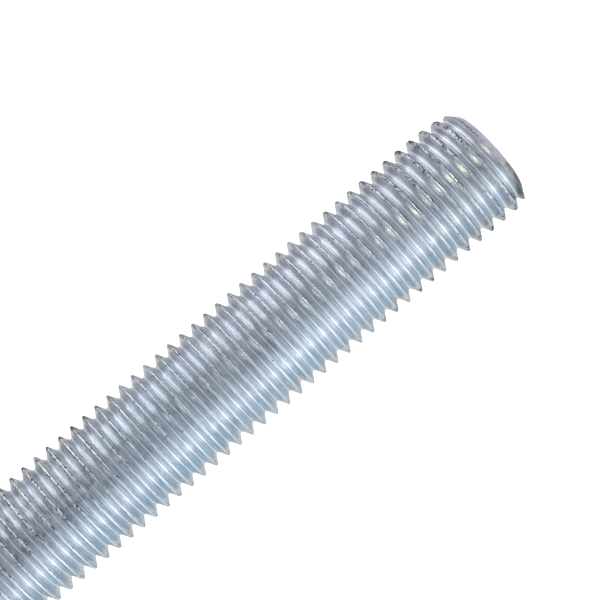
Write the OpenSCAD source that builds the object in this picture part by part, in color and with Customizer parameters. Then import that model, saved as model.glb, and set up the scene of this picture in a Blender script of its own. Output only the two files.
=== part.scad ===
// Metric threaded rod, cut to a stock length and chamfered at both ends.
// It lies along X with its middle at the origin, Z up, and all sizes are in millimetres.
// The thread has its true 60 degree section, turned as rings one pitch apart.

/* [Rod] */
// Length from one cut face to the other
rod_length = 300; // [60:5:360]
// Diameter over the thread crests
crest_diameter = 19.8; // [12:0.05:26]

/* [Thread] */
// Distance from one crest to the next
thread_pitch = 2.5; // [1.75:0.25:3.5]
// Depth of the thread from crest to root, as a share of the pitch
thread_depth_share = 0.6134; // [0.55:0.001:0.64]
// Width of the flat crest, as a share of the pitch
crest_flat_share = 0.125; // [0.08:0.005:0.16]

/* [Ends] */
// Diameter of the flat left in the middle of each end
end_face_diameter = 15.2; // [8:0.1:24]
// Angle between an end's chamfer and the rod's axis
chamfer_angle = 45; // [30:1:60]

/* [Hidden] */
crest_radius = crest_diameter / 2;
root_radius = crest_radius - thread_depth_share * thread_pitch;
half_length = rod_length / 2;
// Half of the crest flat, and how far along the rod one 60 degree flank runs
half_crest = crest_flat_share * thread_pitch / 2;
flank_run = thread_depth_share * thread_pitch * tan(30);
// Whole turns each side of the middle, enough to run past both ends
turns_each_way = ceil(half_length / thread_pitch) + 1;
// An end face wider than the crest would leave no chamfer
end_radius = min(end_face_diameter / 2, crest_radius - 0.1);
chamfer_run = (crest_radius - end_radius) / tan(chamfer_angle);
zinc = [0.70, 0.74, 0.80];

// The outline of the thread beside the axis: four points to a turn, then back along the axis.
module thread_section() {
  outline = [
    for (k = [-turns_each_way:turns_each_way])
      for (q = [[-half_crest - flank_run, root_radius], [-half_crest, crest_radius],
                [half_crest, crest_radius], [half_crest + flank_run, root_radius]])
        [q[1], k * thread_pitch + q[0]]
  ];
  last = turns_each_way * thread_pitch + half_crest + flank_run;
  polygon(concat(outline, [[0, last], [0, -last]]));
}

// The blank the thread is cut on: a bar with both ends chamfered.
module chamfered_section() {
  polygon([
    [0, -half_length],
    [end_radius, -half_length],
    [crest_radius + 1, -half_length + chamfer_run + 1 / tan(chamfer_angle)],
    [crest_radius + 1, half_length - chamfer_run - 1 / tan(chamfer_angle)],
    [end_radius, half_length],
    [0, half_length]
  ]);
}

module threaded_rod() {
  color(zinc)
    rotate([0, 90, 0])
      rotate_extrude($fn = 96)
        intersection() {
          thread_section();
          chamfered_section();
        }
}

threaded_rod();
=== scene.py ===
import math
from functools import reduce
from types import SimpleNamespace

import bpy
from mathutils import Matrix, Vector


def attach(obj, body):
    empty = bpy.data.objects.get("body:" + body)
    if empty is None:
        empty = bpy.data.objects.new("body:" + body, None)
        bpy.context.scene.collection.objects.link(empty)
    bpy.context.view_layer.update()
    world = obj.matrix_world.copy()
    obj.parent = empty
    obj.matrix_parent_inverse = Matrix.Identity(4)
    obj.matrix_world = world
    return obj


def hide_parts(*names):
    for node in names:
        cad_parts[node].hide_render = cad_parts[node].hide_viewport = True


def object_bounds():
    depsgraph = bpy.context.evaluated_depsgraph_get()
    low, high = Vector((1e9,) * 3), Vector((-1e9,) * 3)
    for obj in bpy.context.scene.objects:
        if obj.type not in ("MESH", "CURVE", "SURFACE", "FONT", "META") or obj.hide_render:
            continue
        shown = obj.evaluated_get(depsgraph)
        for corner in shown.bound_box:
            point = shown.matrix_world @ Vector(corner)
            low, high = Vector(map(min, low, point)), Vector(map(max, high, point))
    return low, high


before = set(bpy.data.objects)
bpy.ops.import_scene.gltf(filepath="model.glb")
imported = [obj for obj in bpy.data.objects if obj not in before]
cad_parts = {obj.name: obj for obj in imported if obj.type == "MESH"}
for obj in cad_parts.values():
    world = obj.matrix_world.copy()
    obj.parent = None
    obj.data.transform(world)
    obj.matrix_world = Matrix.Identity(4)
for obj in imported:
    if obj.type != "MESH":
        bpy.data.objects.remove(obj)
cad_low, cad_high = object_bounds()

# ---------------------------------------------------------------------------
# Threaded rod: one mild steel bar with a right-hand metric thread rolled along
# all of it, which leaves a fine folded seam on either side of the crest. It is
# sawn to length, chamfered at both ends and plated with bright bluish zinc.
# ---------------------------------------------------------------------------
rod_length = cad_high.x - cad_low.x
crest_radius = min(cad_high.y, cad_high.z)
pitch = 0.0025
thread_depth = 0.6134 * pitch
crest_flat = 0.125 * pitch
end_face_radius = 0.0076
# where round the rod the middle crest begins, and the upper side, which is the most worn
start_angle = math.radians(121.5)
upper_side = (0.0, 0.515, 0.857)
# the thread is rolled on a few turns more than the rod needs, then trimmed
turns = round(rod_length / pitch) + 7
steps_per_turn = 48
rows_per_pitch = 16


def place(tree, kind, inputs=None, **settings):
    """Adds a node, sets it up and joins its inputs to sockets or plain values."""
    made = tree.nodes.new(kind)
    for name, value in settings.items():
        setattr(made, name, value)
    for key, value in (inputs or {}).items():
        if isinstance(value, bpy.types.NodeSocket):
            tree.links.new(value, made.inputs[key])
        else:
            made.inputs[key].default_value = value
    return made


def sums(tree):
    """Sums as nodes: any one operation by name, then adding, taking away and multiplying in a row."""
    def calc(operation, *values):
        return place(tree, "ShaderNodeMath", dict(enumerate(values)), operation=operation).outputs[0]

    def in_a_row(operation):
        return lambda *values: reduce(lambda so_far, value: calc(operation, so_far, value), values)

    return calc, in_a_row("ADD"), in_a_row("SUBTRACT"), in_a_row("MULTIPLY")


def thread_rolling():
    """The tree that rolls the thread on an over-long bar, then trims the bar to the chamfered blank."""
    tree = bpy.data.node_groups.new("thread_rolling", "GeometryNodeTree")
    for name, kind, value in (
        ("Rod Length", "NodeSocketFloat", rod_length),
        ("Crest Radius", "NodeSocketFloat", crest_radius),
        ("Pitch", "NodeSocketFloat", pitch),
        ("Thread Depth", "NodeSocketFloat", thread_depth),
        ("Crest Flat", "NodeSocketFloat", crest_flat),
        ("Crest Rounding", "NodeSocketFloat", 0.00010),
        ("Root Rounding", "NodeSocketFloat", 0.00045),
        ("Start Angle", "NodeSocketFloat", start_angle),
        ("End Face Radius", "NodeSocketFloat", end_face_radius),
        ("Cut Slant", "NodeSocketFloat", 0.0),
        ("Slant Direction", "NodeSocketVector", (0.0, 0.0, 1.0)),
        ("Steep Side", "NodeSocketFloat", 0.0),
        ("Worn Side", "NodeSocketVector", (0.0, 0.0, 1.0)),
        ("Worn Length", "NodeSocketFloat", 0.0),
        ("Wear Depth", "NodeSocketFloat", 0.0),
        ("Knock Depth", "NodeSocketFloat", 0.0),
        ("Wear Seed", "NodeSocketFloat", 0.0),
        ("Turns", "NodeSocketInt", turns),
        ("Steps per Turn", "NodeSocketInt", steps_per_turn),
        ("Rows per Pitch", "NodeSocketInt", rows_per_pitch),
        ("Finish", "NodeSocketMaterial", None),
    ):
        socket = tree.interface.new_socket(name=name, in_out="INPUT", socket_type=kind)
        if value is not None:
            socket.default_value = value
    tree.interface.new_socket(name="Geometry", in_out="OUTPUT", socket_type="NodeSocketGeometry")
    given = place(tree, "NodeGroupInput").outputs
    calc, add, less, times = sums(tree)

    def point(x, y, z):
        return place(tree, "ShaderNodeCombineXYZ", {"X": x, "Y": y, "Z": z}).outputs[0]

    def toward(y, z, way):
        """How far a point beside the axis lies in the given direction."""
        dot = place(tree, "ShaderNodeVectorMath", {0: point(0.0, y, z), 1: way}, operation="DOT_PRODUCT")
        return dot.outputs["Value"]

    def own_place():
        here = place(tree, "GeometryNodeInputPosition").outputs[0]
        return place(tree, "ShaderNodeSeparateXYZ", {0: here}).outputs

    # a flat strip, with one column to a step and one row to a point of the thread's section
    strip = place(tree, "GeometryNodeMeshGrid", {
        "Size X": 1.0,
        "Size Y": 1.0,
        "Vertices X": add(given["Steps per Turn"], 1.0),
        "Vertices Y": add(times(given["Turns"], given["Rows per Pitch"]), 1.0),
    }).outputs["Mesh"]
    flat = own_place()
    round_bar = add(flat["X"], 0.5)
    turn = times(add(flat["Y"], 0.5), given["Turns"])
    # rows crowd together at crest and root, where the section is curved
    twice_round = 2 * math.tau
    turn = less(turn, times(calc("SINE", times(turn, twice_round)), 0.6 / twice_round))
    middle_turn = times(add(given["Turns"], 1.0), 0.5)
    along = times(less(add(turn, round_bar), middle_turn), given["Pitch"])
    angle = add(times(round_bar, math.tau), given["Start Angle"])
    cos_a, sin_a = calc("COSINE", angle), calc("SINE", angle)

    # the 60 degree section: flat crest and straight flanks
    flank_lean = math.tan(math.radians(30))
    from_crest = times(calc("ABSOLUTE", less(calc("FRACT", turn), 0.5)), given["Pitch"])
    root_at = add(times(given["Crest Flat"], 0.5), times(given["Thread Depth"], flank_lean))
    height = calc("DIVIDE", less(root_at, from_crest), flank_lean)

    # one end is knocked about: its last crests are rounded low, most of all on the worn side
    half_length = times(given["Rod Length"], 0.5)
    worn_length = calc("MAXIMUM", given["Worn Length"], 1e-6)
    near_end = calc("DIVIDE", less(along, less(half_length, given["Worn Length"])), worn_length)
    near_end = place(tree, "ShaderNodeClamp", {0: near_end}).outputs[0]
    knocks = place(tree, "ShaderNodeTexNoise", {
        "Vector": point(times(along, 900.0), times(cos_a, 6.0), times(sin_a, 6.0)),
        "W": given["Wear Seed"],
        "Scale": 1.0,
        "Detail": 3.0,
    }, noise_dimensions="4D").outputs[0]
    knocks = place(tree, "ShaderNodeMapRange", {
        "Value": knocks, "From Min": 0.40, "From Max": 0.70, "To Max": given["Knock Depth"],
    }).outputs[0]
    side_share = place(tree, "ShaderNodeMapRange", {
        "Value": toward(cos_a, sin_a, given["Worn Side"]),
        "From Min": 0.25, "From Max": 0.95, "To Min": 0.28, "To Max": 1.0,
    }).outputs[0]
    wear = times(calc("POWER", near_end, 3.0), given["Wear Depth"], side_share)
    wear = add(wear, times(near_end, knocks))

    # crest and root are rounded, and a worn crest more than a whole one
    top = less(given["Thread Depth"], wear)
    height = calc("SMOOTH_MIN", height, top, add(given["Crest Rounding"], times(wear, 0.8)))
    height = calc("SMOOTH_MAX", height, 0.0, given["Root Rounding"])
    radius = add(less(given["Crest Radius"], given["Thread Depth"]), height)

    # a pitch and half a step past each end the bar closes to a point on its axis, outside the blank
    reach = add(half_length, times(given["Pitch"], 1.0 + 0.5 / steps_per_turn))
    how_far = calc("ABSOLUTE", along)
    kept = less(1.0, calc("GREATER_THAN", how_far, reach))
    bar_at = point(
        times(calc("SIGN", along), calc("MINIMUM", how_far, reach)),
        times(radius, cos_a, kept),
        times(radius, sin_a, kept))
    rolled = place(tree, "GeometryNodeSetPosition", {"Geometry": strip, "Position": bar_at}).outputs[0]
    rolled = place(tree, "GeometryNodeMergeByDistance", {"Geometry": rolled, "Distance": 1e-6}).outputs[0]

    # the blank: a wider bar with a 45 degree chamfer down to each end face; the knocked end is
    # cut a little out of square, and its chamfer is ground steeper away from the worn side
    tube = place(tree, "GeometryNodeMeshCylinder", {
        "Vertices": 128, "Side Segments": 3, "Fill Segments": 1, "Radius": 1.0, "Depth": 1.0,
    }, fill_type="TRIANGLE_FAN").outputs["Mesh"]
    at = own_place()
    is_end_face = calc("GREATER_THAN", calc("ABSOLUTE", at["Z"]), 0.4)
    is_knocked_end = calc("GREATER_THAN", at["Z"], 0.0)
    wide = add(given["Crest Radius"], 0.001)
    blank_radius = add(wide, times(is_end_face, less(given["End Face Radius"], wide)))
    blank_y, blank_z = times(at["X"], blank_radius), times(at["Y"], blank_radius)
    worn_way = toward(blank_y, blank_z, given["Worn Side"])
    away = less(0.5, calc("DIVIDE", times(worn_way, 0.5), blank_radius))
    steep = less(1.0, times(given["Steep Side"], away, is_knocked_end))
    set_back = times(less(1.0, is_end_face), less(wide, given["End Face Radius"]), steep)
    slant = add(toward(blank_y, blank_z, given["Slant Direction"]), given["End Face Radius"])
    slant = times(slant, given["Cut Slant"], is_knocked_end)
    blank_x = less(times(calc("SIGN", at["Z"]), less(half_length, set_back)), slant)
    blank = place(tree, "GeometryNodeSetPosition", {
        "Geometry": tube, "Position": point(blank_x, blank_y, blank_z)}).outputs[0]
    blank = place(tree, "GeometryNodeStoreNamedAttribute", {
        "Geometry": blank, "Name": "cut_face", "Value": 1.0}, data_type="FLOAT", domain="FACE").outputs[0]

    trim = place(tree, "GeometryNodeMeshBoolean", operation="INTERSECT", solver="MANIFOLD")
    tree.links.new(rolled, trim.inputs["Mesh 2"])
    tree.links.new(blank, trim.inputs["Mesh 2"])
    body = place(tree, "GeometryNodeMergeByDistance", {
        "Geometry": trim.outputs["Mesh"], "Distance": 1e-7}).outputs[0]

    # smooth all over, but sharp where the chamfer and the end faces meet the thread
    edge_angle = place(tree, "GeometryNodeInputMeshEdgeAngle").outputs["Unsigned Angle"]
    fold = calc("GREATER_THAN", edge_angle, math.radians(38))
    body = place(tree, "GeometryNodeSetShadeSmooth", {
        "Geometry": body, "Shade Smooth": True}, domain="FACE").outputs[0]
    body = place(tree, "GeometryNodeSetShadeSmooth", {
        "Geometry": body, "Selection": fold, "Shade Smooth": False}, domain="EDGE").outputs[0]
    body = place(tree, "GeometryNodeRealizeInstances", {"Geometry": body}).outputs[0]
    body = place(tree, "GeometryNodeSetMaterial", {"Geometry": body, "Material": given["Finish"]}).outputs[0]
    place(tree, "NodeGroupOutput", {"Geometry": body})
    return tree


def soft_steps(tree):
    """Soft steps and bands as nodes in a material, and what a share leaves over."""
    calc, _, less, times = sums(tree)

    def ramp(value, low, high, start=0.0, stop=1.0):
        """A soft step from start to stop as the value goes from low to high."""
        return place(tree, "ShaderNodeMapRange", {
            "Value": value, "From Min": low, "From Max": high, "To Min": start, "To Max": stop,
        }, interpolation_type="SMOOTHSTEP").outputs[0]

    def band(value, middle, inner, outer, amount=1.0):
        """The whole amount within inner of the middle, and none beyond outer."""
        return ramp(calc("ABSOLUTE", less(value, middle)), inner, outer, amount, 0.0)

    def without(share, amount=1.0):
        """What is left when this much of a share is taken away."""
        return less(1.0, times(share, amount))

    return ramp, band, without


def coat(tree, under, share, over):
    """Lays one colour over another by share."""
    under, over = (c if isinstance(c, bpy.types.NodeSocket) else (*c, 1.0) for c in (under, over))
    return place(tree, "ShaderNodeMix", {0: share, 6: under, 7: over}, data_type="RGBA").outputs[2]


def on_thread(tree):
    """Where each point of the rod lies on its thread, and the noises that follow the thread."""
    calc, add, less, times = sums(tree)
    ramp, band, without = soft_steps(tree)
    bar = place(tree, "ShaderNodeTexCoord").outputs["Object"]
    at = place(tree, "ShaderNodeSeparateXYZ", {0: bar}).outputs
    radius = calc("SQRT", add(times(at["Y"], at["Y"]), times(at["Z"], at["Z"])))
    round_y, round_z = calc("DIVIDE", at["Y"], radius), calc("DIVIDE", at["Z"], radius)
    spin = calc("DIVIDE", less(calc("ARCTAN2", at["Z"], at["Y"]), start_angle), math.tau)
    turn = add(less(calc("DIVIDE", at["X"], pitch), spin), (turns + 1) / 2)

    # across the thread from -0.5 to 0.5 with the crest at 0, and in from the knocked end in metres
    off_crest = less(calc("FRACT", turn), 0.5)
    inset = less(rod_length / 2, at["X"])

    # the marks are darker on the upper side as painted shade; the knocked end and the far part of the rod
    # are the dirty ones
    upward = add(times(round_y, upper_side[1]), times(round_z, upper_side[2]))
    upper = ramp(upward, -0.38, 0.02)
    middle_band = band(upward, 0.04, 0.16, 0.36)
    end_share = ramp(inset, 0.032, 0.003)
    far_share = ramp(inset, 0.062, 0.090)
    dirty = calc("MAXIMUM", end_share, times(far_share, 0.7))

    # the sawn end face and its chamfer, short of the crest
    cut_out_to = add(radius, times(ramp(upward, 0.0, 0.8), 0.0006))
    cut = place(tree, "ShaderNodeAttribute", attribute_name="cut_face").outputs["Fac"]
    cut = times(cut, ramp(cut_out_to, 0.0092, 0.0087))

    # the crest band is weaker at the knocked end, which is covered, and weaker in the middle band as painted
    # shade
    covered_and_shaded = calc("MAXIMUM", times(end_share, 0.5), times(middle_band, 0.22))
    rubbed_and_highlit_crest = times(band(off_crest, 0.0, 0.032, 0.075), without(cut), without(covered_and_shaded))

    def rolled(across, around, change, detail=2.0, rough=0.5, shift=0.0):
        """Noise drawn out along the helix: across and around set how fine it is each way."""
        where = place(tree, "ShaderNodeCombineXYZ", {
            "X": times(off_crest, across), "Y": times(round_y, around), "Z": times(round_z, around),
        }).outputs[0]
        return place(tree, "ShaderNodeTexNoise", {
            "Vector": where, "W": add(times(turn, change), shift),
            "Scale": 1.0, "Detail": detail, "Roughness": rough,
        }, noise_dimensions="4D").outputs[0]

    def patchy(scale, detail=2.0, rough=0.5):
        """Plain noise on the bar, with no grain of its own."""
        return place(tree, "ShaderNodeTexNoise", {
            "Vector": bar, "Scale": scale, "Detail": detail, "Roughness": rough}).outputs[0]

    return SimpleNamespace(
        radius=radius, off_crest=off_crest, inset=inset, upward=upward, upper=upper,
        middle_band=middle_band, end_share=end_share, far_share=far_share, dirty=dirty, cut=cut,
        near_crest=band(off_crest, 0.0, 0.06, 0.19), rubbed_and_highlit_crest=rubbed_and_highlit_crest,
        rolled=rolled, patchy=patchy,
        die_marks=rolled(13.0, 0.6, 0.10, 3.0, 0.8, 41.0),
        streaks=rolled(7.0, 2.6, 1.3, 3.0, 0.7),
        fine=rolled(26.0, 34.0, 7.0, 3.0, 0.65),
        mottle=patchy(420.0, 3.0, 0.6),
        cloud=patchy(90.0, 2.0))


def crest_marks(tree, on):
    """The dark seams, pits and darkened tips along the crest, with painted shade on the upper side, then
    only those that have depth.
    """
    calc, add, less, times = sums(tree)
    ramp, band, without = soft_steps(tree)

    # seams either side of the crest, broken along their length and wandering near the knocked end
    wander = less(on.rolled(2.0, 16.0, 3.1, 2.0, 0.6, 5.0), 0.5)
    seam_at = add(on.off_crest, times(wander, add(0.03, times(on.end_share, 0.22))))
    seams = 0.0
    for gap, half_width, around, shift in ((0.074, 0.038, 8.0, 11.0), (-0.066, 0.032, 6.0, 23.0)):
        spread = add(times(on.end_share, 0.045), times(on.far_share, math.copysign(0.025, gap)))
        width = add(half_width, times(on.end_share, 0.035))
        line = calc("DIVIDE", calc("ABSOLUTE", less(seam_at, add(gap, spread))), width)
        line = ramp(line, 0.35, 1.0, 1.0, 0.0)
        if gap < 0:
            line = times(line, without(on.middle_band, 0.7))
        broken = ramp(on.rolled(1.5, around, 2.3, 4.0, 0.68, shift), 0.48, 0.55)
        seams = calc("MAXIMUM", seams, times(line, broken))
    # the seams are darker on the upper side as painted shade, and darker where the rod is dirty
    soil_and_shade = add(0.12, times(on.upper, 0.72), times(on.dirty, 0.45))
    soil_and_shade = times(ramp(on.cloud, 0.36, 0.62, 0.5, 1.2), soil_and_shade)
    seams = times(seams, calc("MINIMUM", soil_and_shade, 1.0))

    # pits, thickest on the crest and where the rod is dirty, and thicker on the upper side as painted shade
    pit_low = less(
        0.70,
        times(on.near_crest, add(0.03, times(on.upper, 0.075))),
        times(on.dirty, on.near_crest, 0.05))
    pits = ramp(less(on.rolled(7.0, 20.0, 4.0, 3.0, 0.6, 31.0), pit_low), 0.0, 0.04)
    pits = times(pits, add(0.15, times(on.near_crest, 0.85)))
    hole_low = less(0.66, times(on.dirty, on.upper, 0.06))
    holes = ramp(less(on.rolled(4.0, 11.0, 3.0, 3.0, 0.65, 57.0), hole_low), 0.0, 0.05)
    pits = calc("MAXIMUM", pits, times(holes, band(on.off_crest, 0.0, 0.08, 0.24)))

    # nicks in a row along the far part, and fewer pits in the middle band near the knocked end
    nicks = times(band(on.upward, -0.03, 0.05, 0.15), band(seam_at, 0.02, 0.03, 0.11))
    nicks = times(nicks, on.far_share, ramp(on.rolled(3.0, 9.0, 1.1, 3.0, 0.7, 83.0), 0.44, 0.52))
    pits = calc("MAXIMUM", pits, times(nicks, 0.75))
    pits = times(pits, without(times(on.middle_band, ramp(on.inset, 0.055, 0.035)), 0.6))

    # specks all over, more on the upper side as painted shade; and dark specks on the crests at the rod's
    # upper and lower edges, heavier near the knocked end, and on the upper side as painted shade
    specks = ramp(on.patchy(2300.0, 2.0, 0.6), 0.68, 0.73)
    specks = times(specks, add(0.15, times(on.upper, 0.4, without(on.middle_band))))
    tips = times(ramp(calc("ABSOLUTE", on.upward), 0.88, 0.96), band(on.off_crest, 0.03, 0.06, 0.25))
    tip_darkening = calc("MAXIMUM", ramp(on.inset, 0.044, 0.015), times(on.upper, add(on.dirty, 0.45)))
    tips = times(tips, ramp(on.patchy(800.0, 3.0, 0.6), 0.455, 0.52), add(0.25, times(tip_darkening, 0.75)))

    dents = calc("MAXIMUM", seams, pits)
    marks = calc("MINIMUM", add(calc("MAXIMUM", dents, tips), specks), 1.0)
    return times(marks, without(on.cut, 0.7)), dents


def plate_colour(tree, on, marks):
    """The zinc's colour, coat over coat from the bright plate to the black of the marks, with painted
    highlights and painted shade among the coats.
    """
    calc, add, less, times = sums(tree)
    ramp, band, without = soft_steps(tree)
    off_crest, upward, upper, middle_band = on.off_crest, on.upward, on.upper, on.middle_band
    lower = without(upper)
    low_end = times(lower, on.end_share)
    hairs = on.rolled(19.0, 3.0, 0.7, 2.0, 0.6, 71.0)

    blots = on.rolled(5.0, 6.0, 1.9, 4.0, 0.7, 67.0)
    stain = ramp(add(times(on.patchy(330.0, 4.0, 0.7), 0.45), times(blots, 0.55)), 0.51, 0.59)
    stain = times(stain, add(0.20, times(middle_band, 0.25), times(on.far_share, upper, 0.45)))

    # at the knocked end the rolls lapped metal over the flanks, in lines beside the root, and painted shade
    # darkens the laps towards the top
    laps = times(upper, without(middle_band, 0.8))
    lap_shade = times(laps, on.end_share, ramp(upward, 0.35, 0.65, 0.5, 1.15))
    lap_lines = times(laps, ramp(on.inset, 0.030, 0.014))

    # painted highlight: the root shines as a thin bright line, wider low down at the knocked end
    from_root_line = calc("ABSOLUTE", less(off_crest, add(0.025, times(upper, 0.030))))
    root_from = less(0.42, times(low_end, 0.06))
    root = ramp(calc("DIVIDE", less(from_root_line, root_from), less(0.47, root_from)), 0.0, 1.0)

    # the crest is rubbed bright, with a painted highlight that is whitest on the far part and lighter on the
    # lower side
    dark_grain = times(ramp(on.fine, 0.50, 0.66), without(middle_band, 0.7))
    rubbed_and_highlit = coat(tree, (0.83, 0.870, 0.910), dark_grain, (0.62, 0.655, 0.705))
    rubbed_and_highlit = coat(tree, rubbed_and_highlit, times(on.far_share, 0.7), (1.0, 1.0, 1.0))
    rubbed_and_highlit = coat(tree, rubbed_and_highlit, times(lower, 0.8), (0.89, 0.915, 0.945))
    sawn = coat(tree, (0.75, 0.725, 0.83), ramp(on.mottle, 0.35, 0.70), (0.64, 0.615, 0.70))

    # a ragged dark band round the lower edge of the end face
    ragged = less(on.mottle, 0.5)
    ragged_dark_edge = times(
        ramp(add(upward, times(ragged, 0.8)), -0.30, -0.55),
        ramp(less(on.inset, ramp(upward, -0.55, -0.95, 0.0, 0.0006)), 0.0013, 0.0008),
        ramp(add(on.radius, times(ragged, 0.001)), 0.0071, 0.0076))

    drift = ramp(on.patchy(30.0, 1.0), 0.35, 0.65)
    plate = coat(tree, (0.665, 0.735, 0.800), drift, (0.715, 0.735, 0.785))
    for share, colour in (
        # duller and warmer at the knocked end
        (times(on.end_share, 0.9), (0.785, 0.765, 0.795)),
        # grey streaks, then bright and dark lines from the rolling dies, coarse and fine
        (ramp(on.streaks, 0.44, 0.60, 0.0, 0.85), (0.520, 0.580, 0.650)),
        (ramp(on.die_marks, 0.48, 0.58, 0.0, 0.95), (0.860, 0.895, 0.930)),
        (ramp(on.die_marks, 0.46, 0.37, 0.0, 0.85), (0.450, 0.500, 0.570)),
        (ramp(hairs, 0.47, 0.38, 0.0, 0.7), (0.440, 0.490, 0.560)),
        (ramp(hairs, 0.53, 0.62, 0.0, 0.7), (0.900, 0.930, 0.960)),
        # mottling and stains
        (ramp(on.mottle, 0.50, 0.68, 0.0, 0.5), (0.530, 0.550, 0.590)),
        (stain, (0.330, 0.340, 0.370)),
        # painted light: the lower side is lighter and bluer, and greyer and darker again at the knocked end
        (times(lower, without(on.end_share), 0.2), (0.740, 0.810, 0.870)),
        (times(low_end, 0.45), (0.540, 0.555, 0.590)),
        # painted shade: one flank is darker on the upper side; and the laps darken both flanks with two thin
        # lines
        (times(band(off_crest, 0.32, 0.05, 0.12, 0.30), upper), (0.42, 0.45, 0.51)),
        # painted shade over the laps, strongest towards the top
        (times(band(calc("ABSOLUTE", off_crest), 0.33, 0.07, 0.14, 0.50), lap_shade), (0.40, 0.41, 0.48)),
        (times(band(off_crest, 0.355, 0.012, 0.034, 0.9), lap_lines), (0.93, 0.95, 0.98)),
        (times(band(off_crest, 0.410, 0.012, 0.030, 0.8), lap_lines), (0.30, 0.32, 0.39)),
        # painted highlight on the root, the rubbed crest with its painted highlight, sawn end, ragged dark
        # edge, and over them all the dark marks
        (times(root, without(middle_band, 0.35)), (0.92, 0.95, 0.98)),
        (times(on.rubbed_and_highlit_crest, 0.9), rubbed_and_highlit),
        (on.cut, sawn),
        (times(ragged_dark_edge, 0.9), (0.150, 0.125, 0.115)),
        (marks, (0.085, 0.085, 0.102)),
    ):
        plate = coat(tree, plate, share, colour)
    return plate


def zinc_plate():
    """Bright bluish zinc on a rolled thread, rubbed lighter along the crests with a painted highlight there,
    and dark in its seams.
    """
    finish = bpy.data.materials.new("zinc_plate")
    finish.use_nodes = True
    tree = finish.node_tree
    tree.nodes.clear()
    calc, add, less, times = sums(tree)
    ramp, *_ = soft_steps(tree)
    on = on_thread(tree)
    marks, dents = crest_marks(tree, on)

    # duller on clouds, crests, the sawn end and dirt, and shinier down by the root
    dull = add(
        0.23,
        times(ramp(on.cloud, 0.35, 0.70), 0.07),
        times(less(on.streaks, 0.5), 0.12),
        times(on.rubbed_and_highlit_crest, 0.04),
        times(ramp(calc("ABSOLUTE", on.off_crest), 0.30, 0.42), -0.07),
        times(on.cut, 0.22),
        times(marks, 0.35))

    # streaks and die lines stand up, the crest is rough, and seams and pits go in
    fine_height = less(0.06, times(on.middle_band, 0.05))
    crest_height = times(on.rubbed_and_highlit_crest, less(0.08, times(on.middle_band, 0.07)))
    knocked_height = times(on.end_share, on.near_crest, less(0.7, times(on.middle_band, 0.6)))
    raised = add(
        times(add(on.streaks, on.die_marks), 0.9),
        times(on.fine, fine_height),
        times(on.fine, add(crest_height, knocked_height), 0.9))
    raised = less(raised, times(dents, less(0.5, times(on.middle_band, 0.35))))
    bump = place(tree, "ShaderNodeBump", {"Height": raised, "Strength": 1.0, "Distance": 0.00004})

    metal = place(tree, "ShaderNodeBsdfPrincipled", {
        "Base Color": plate_colour(tree, on, marks),
        "Metallic": 1.0,
        "Roughness": calc("MAXIMUM", dull, 0.12),
        "Normal": bump.outputs[0],
    })
    place(tree, "ShaderNodeOutputMaterial", {"Surface": metal.outputs[0]})
    return finish


thread_source = bpy.data.objects.new("thread_source", bpy.data.meshes.new("thread_source"))
bpy.context.scene.collection.objects.link(thread_source)
rolling = thread_source.modifiers.new("thread_rolling", "NODES")
rolling.node_group = thread_rolling()
sockets = {s.name: s.identifier for s in rolling.node_group.interface.items_tree if s.in_out == "INPUT"}
for name, value in (
    ("Rod Length", rod_length),
    ("Crest Radius", crest_radius),
    ("Pitch", pitch),
    ("Thread Depth", thread_depth),
    ("Crest Flat", crest_flat),
    ("Start Angle", start_angle),
    ("End Face Radius", end_face_radius),
    ("Turns", turns),
    # the knocked end: its cut leans back to the rear, its lower chamfer is steeper, its crests are worn
    ("Cut Slant", 0.05),
    ("Slant Direction", (0.0, 0.995, 0.102)),
    ("Steep Side", 0.45),
    ("Worn Side", upper_side),
    ("Worn Length", 0.013),
    ("Wear Depth", 0.0012),
    ("Knock Depth", 0.00008),
    ("Wear Seed", 3.0),
    ("Finish", zinc_plate()),
):
    rolling[sockets[name]] = value
finished = thread_source.evaluated_get(bpy.context.evaluated_depsgraph_get())
threaded_rod = bpy.data.objects.new("threaded_rod_visual", bpy.data.meshes.new_from_object(finished))
bpy.data.objects.remove(thread_source)
bpy.context.scene.collection.objects.link(threaded_rod)
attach(threaded_rod, "root")
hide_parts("threaded_rod")

# ---------------------------------------------------------------------------
# Floor: a wide plain sheet of white paper, far enough below the rod and bright
# enough to show no shadow.
# ---------------------------------------------------------------------------
half_width = 4.0
drop = 0.45
corners = [(x * half_width, y * half_width, -drop) for x, y in ((-1, -1), (1, -1), (1, 1), (-1, 1))]
floor_mesh = bpy.data.meshes.new("floor")
floor_mesh.from_pydata(corners, [], [(0, 1, 2, 3)])
floor = bpy.data.objects.new("floor", floor_mesh)
bpy.context.scene.collection.objects.link(floor)
paper = bpy.data.materials.new("white_paper")
paper.use_nodes = True
matt = paper.node_tree.nodes["Principled BSDF"]
matt.inputs["Base Color"].default_value = (0.9, 0.9, 0.9, 1)
matt.inputs["Roughness"].default_value = 0.9
matt.inputs["Specular IOR Level"].default_value = 0.0
matt.inputs["Emission Color"].default_value = (1, 1, 1, 1)
matt.inputs["Emission Strength"].default_value = 0.7
floor_mesh.materials.append(paper)
floor.visible_glossy = False

# ---------------------------------------------------------------------------
# Camera: a long lens that looks down on the rod near its knocked end, rolled
# so that the rod climbs to the right.
# ---------------------------------------------------------------------------
look_down = math.radians(31)
end_recedes = math.radians(3.1)
climb = math.radians(40.3)
aim_inset = 0.03859
aim_aside = 0.00164
stand_off = 0.4441

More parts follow.
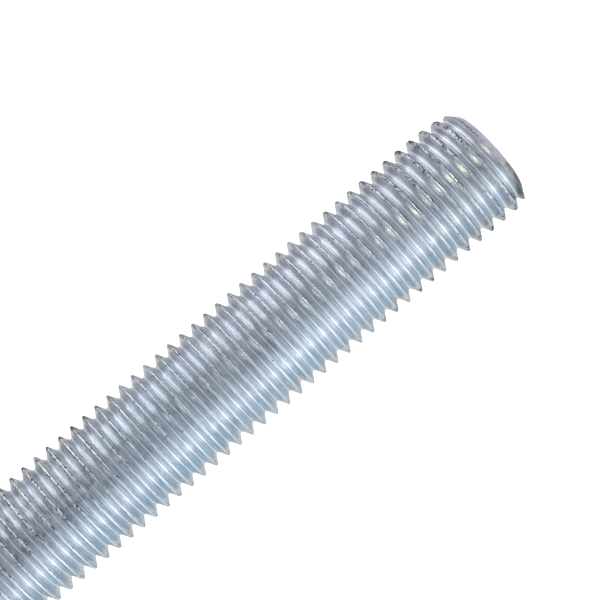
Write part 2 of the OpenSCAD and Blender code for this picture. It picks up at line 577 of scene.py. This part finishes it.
back = Vector((
    -math.sin(end_recedes),
    -math.cos(look_down) * math.cos(end_recedes),
    math.sin(look_down) * math.cos(end_recedes)))
rod_way = (Vector((1, 0, 0)) - back * back.x).normalized()
rod_side = back.cross(rod_way)
right = rod_way * math.cos(climb) - rod_side * math.sin(climb)
up = rod_way * math.sin(climb) + rod_side * math.cos(climb)
stand = Vector((rod_length / 2 - aim_inset, 0, 0)) + rod_side * aim_aside + back * stand_off
lens = bpy.data.cameras.new("camera")
lens.lens = 168.0
lens.sensor_width = 36.0
lens.clip_start, lens.clip_end = 0.01, 50
camera = bpy.data.objects.new("camera", lens)
bpy.context.scene.collection.objects.link(camera)
camera.matrix_world = Matrix((
    (right.x, up.x, back.x, stand.x),
    (right.y, up.y, back.y, stand.y),
    (right.z, up.z, back.z, stand.z),
    (0, 0, 0, 1),
))
bpy.context.scene.camera = camera

# ---------------------------------------------------------------------------
# Light: a tall panel overhead, a side panel and a small warm lamp beyond the
# knocked end, and lit paper below in front, all in a dim grey-blue room.
# ---------------------------------------------------------------------------


def from_end(degrees, lean):
    """The way from the rod at this angle above the front horizon, leaned towards its knocked end."""
    rise, tip = math.radians(degrees), math.radians(lean)
    return Vector((math.sin(tip), -math.cos(rise) * math.cos(tip), math.sin(rise) * math.cos(tip)))


def soft_panel(name, inset, way, distance, wide, tall, power, colour, spread=180):
    """A soft light panel that faces one point of the rod, so far in from the knocked end."""
    lamp = bpy.data.lights.new(name, "AREA")
    lamp.shape = "RECTANGLE"
    lamp.size, lamp.size_y = wide, tall
    lamp.energy = power
    lamp.color = colour
    lamp.spread = math.radians(spread)
    panel = bpy.data.objects.new(name, lamp)
    bpy.context.scene.collection.objects.link(panel)
    panel.location = Vector((rod_length / 2 - inset, 0, 0)) + way.normalized() * distance
    panel.rotation_mode = "QUATERNION"
    panel.rotation_quaternion = way.to_track_quat("Z", "Y")
    panel.visible_camera = False


soft_panel("ceiling_panel", inset=0.04, way=from_end(105, 3.0), distance=1.2, wide=0.50, tall=1.55,
           power=2.25, colour=(0.97, 0.985, 1.0))
soft_panel("side_panel", inset=0.05, way=from_end(45, 48.6), distance=0.60, wide=0.20, tall=0.24,
           power=0.17, colour=(1.0, 0.97, 0.95))
soft_panel("warm_end_lamp", inset=0.007, way=from_end(46, 48.6), distance=0.16, wide=0.056, tall=0.056,
           power=0.0011, colour=(1.0, 0.94, 0.53), spread=25)
soft_panel("low_paper", inset=0.04, way=from_end(-33, 0.0), distance=0.9, wide=0.50, tall=0.36,
           power=0.22, colour=(0.94, 0.97, 1.0))

# the room's tone at each angle above the front horizon, over the top to the back and round below
room = bpy.data.worlds.new("studio")
room.use_nodes = True
bpy.context.scene.world = room
air = room.node_tree
air.nodes.clear()
calc, add, _, times = sums(air)
ray = place(air, "ShaderNodeSeparateXYZ", {0: place(air, "ShaderNodeTexCoord").outputs["Generated"]}).outputs
swing = calc("ARCTAN2", ray["Z"], times(ray["Y"], -1.0))
tones = place(air, "ShaderNodeValToRGB", {0: add(calc("DIVIDE", swing, math.tau), 0.5)})
tones.color_ramp.interpolation = "EASE"
stops = tones.color_ramp.elements
for degrees, colour in (
    # behind and underneath
    (-180, (0.60, 0.615, 0.64)),
    (-149, (0.72, 0.69, 0.67)),
    (-110, (0.64, 0.71, 0.75)),
    (-76, (0.575, 0.735, 0.83)),
    # bright paper, low in front
    (-58, (0.80, 0.885, 0.965)),
    (-43, (1.22, 1.265, 1.28)),
    (-29, (0.94, 0.99, 1.02)),
    (-16, (0.84, 0.93, 1.00)),
    (-6, (0.74, 0.81, 0.87)),
    # front wall
    (2, (0.62, 0.66, 0.71)),
    (31, (0.51, 0.54, 0.58)),
    (60, (0.51, 0.535, 0.575)),
    # ceiling, and down the back wall
    (76, (0.50, 0.52, 0.55)),
    (94, (0.59, 0.61, 0.64)),
    (115, (0.67, 0.69, 0.73)),
    (137, (0.72, 0.75, 0.81)),
    (160, (0.50, 0.51, 0.54)),
    (180, (0.60, 0.615, 0.64)),
):
    if degrees == -180:
        stop = stops[0]
    elif degrees == 180:
        stop = stops[-1]
    else:
        stop = stops.new((degrees + 180) / 360)
    stop.color = (*colour, 1.0)
seen = place(air, "ShaderNodeLightPath").outputs["Is Camera Ray"]
white = (1, 1, 1, 1)
tone = place(air, "ShaderNodeMix", {0: seen, 6: tones.outputs[0], 7: white}, data_type="RGBA").outputs[2]
glow = place(air, "ShaderNodeBackground", {"Color": tone, "Strength": 1.0})
place(air, "ShaderNodeOutputWorld", {"Surface": glow.outputs[0]})

# colours as they are, and enough bounces for light to find its way out of the thread
scene = bpy.context.scene
scene.view_settings.view_transform = "Standard"
scene.view_settings.look = "None"
scene.view_settings.exposure = 0.0
scene.view_settings.gamma = 1.0
scene.cycles.max_bounces = 12
scene.cycles.glossy_bounces = 8
scene.cycles.diffuse_bounces = 3
scene.cycles.blur_glossy = 0.0
